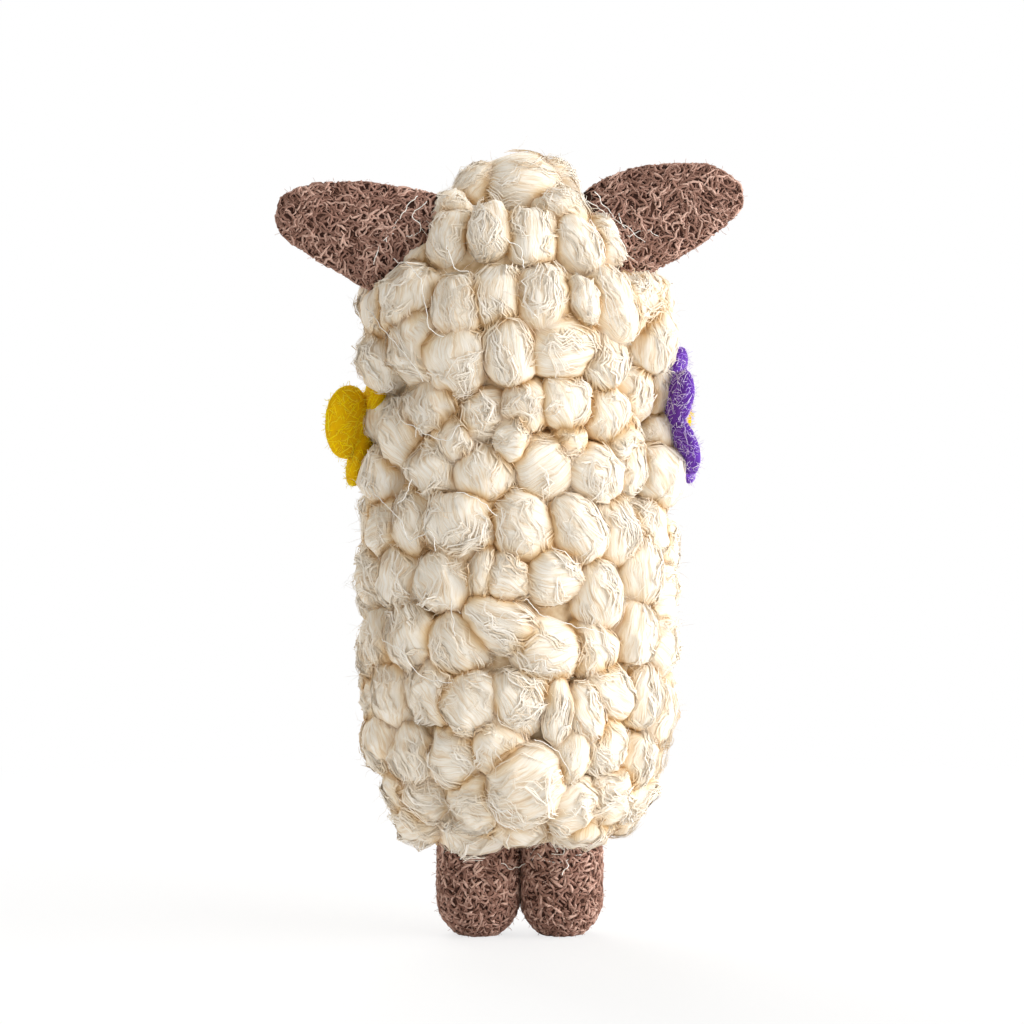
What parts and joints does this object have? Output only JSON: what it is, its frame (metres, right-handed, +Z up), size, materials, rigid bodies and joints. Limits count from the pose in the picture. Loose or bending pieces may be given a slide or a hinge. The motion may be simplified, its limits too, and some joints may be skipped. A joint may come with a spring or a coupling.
{
  "type": "sheep figurine",
  "caption": "Upright felted wool sheep with a fleece of cream curls, brown felt ears, legs and face, and a felt flower on each flank.",
  "frame": {"origin": "on the table, under the middle of the figure's box", "axes": "+Z up along the standing body, the face towards -Y, the sheep's own left ear towards +X"},
  "size_m": [0.0652, 0.0493, 0.11],
  "materials": {
    "fleece": "loose cream wool curls",
    "core_wool": "firm needle-felted wool",
    "brown_felt": "needle-felted wool with kinked strands",
    "yellow_felt": "soft felt",
    "orange_felt": "soft felt",
    "purple_felt": "soft felt",
    "eye_bead": "polished black bead",
    "dark_thread": "stitched thread"
  },
  "bodies": {
    "root": {"body_core": "core_wool", "head_core": "core_wool", "body_curl_row_1": "fleece", "body_curl_row_2": "fleece", "body_curl_row_3": "fleece", "body_curl_row_4": "fleece", "body_curl_row_5": "fleece", "body_curl_row_6": "fleece", "body_curl_row_7": "fleece", "neck_curl_row": "fleece", "head_curl_row_1": "fleece", "head_curl_row_2": "fleece", "head_curl_row_3": "fleece", "topknot": "fleece", "tail": "fleece", "hind_leg_left": "brown_felt", "hind_leg_right": "brown_felt", "front_leg_left": "brown_felt", "front_leg_right": "brown_felt", "ear_left": "brown_felt", "ear_right": "brown_felt", "face": "brown_felt", "eye_left": "eye_bead", "eye_right": "eye_bead", "nose": "dark_thread", "mouth": "dark_thread", "yellow_flower_petals": "yellow_felt", "yellow_flower_centre": "orange_felt", "purple_flower_petals": "purple_felt", "purple_flower_centre": "yellow_felt"}
  },
  "joints": []
}
